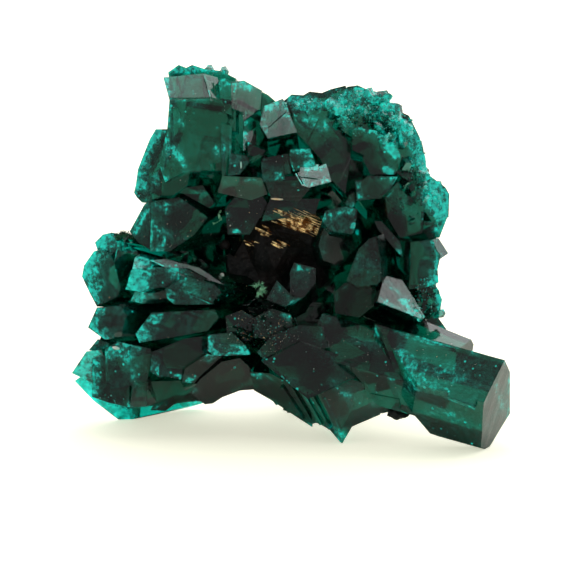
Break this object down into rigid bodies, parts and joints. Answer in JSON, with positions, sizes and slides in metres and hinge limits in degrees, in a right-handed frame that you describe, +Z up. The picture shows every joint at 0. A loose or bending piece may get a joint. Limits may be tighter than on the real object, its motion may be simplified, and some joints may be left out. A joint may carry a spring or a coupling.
{
  "type": "dioptase crystal cluster",
  "caption": "Cluster of glassy deep green dioptase prisms crowded round a dark hollow, with a long prism reaching out at the lower right, on a remnant of brown host rock.",
  "frame": {"origin": "centre of the bounding box in plan, on the surface that the cluster rests on", "axes": "+X to the cluster's right as it is shown, along its longest extent and towards the tip of the long prism; +Y away from the viewer, through the cluster to its back; +Z up"},
  "size_m": [0.0292, 0.0178, 0.0249],
  "materials": {
    "dioptase": "vitreous, deep emerald to bluish green, cloudy inside",
    "host_rock": "rough, iron stained",
    "malachite": "fibrous, dull"
  },
  "bodies": {
    "root": {"dioptase_crystals": "dioptase", "matrix": "host_rock", "matrix_crumb": "host_rock", "malachite_tuft_left": "malachite", "malachite_tuft_wisp": "malachite", "malachite_tuft_centre": "malachite"}
  },
  "joints": []
}
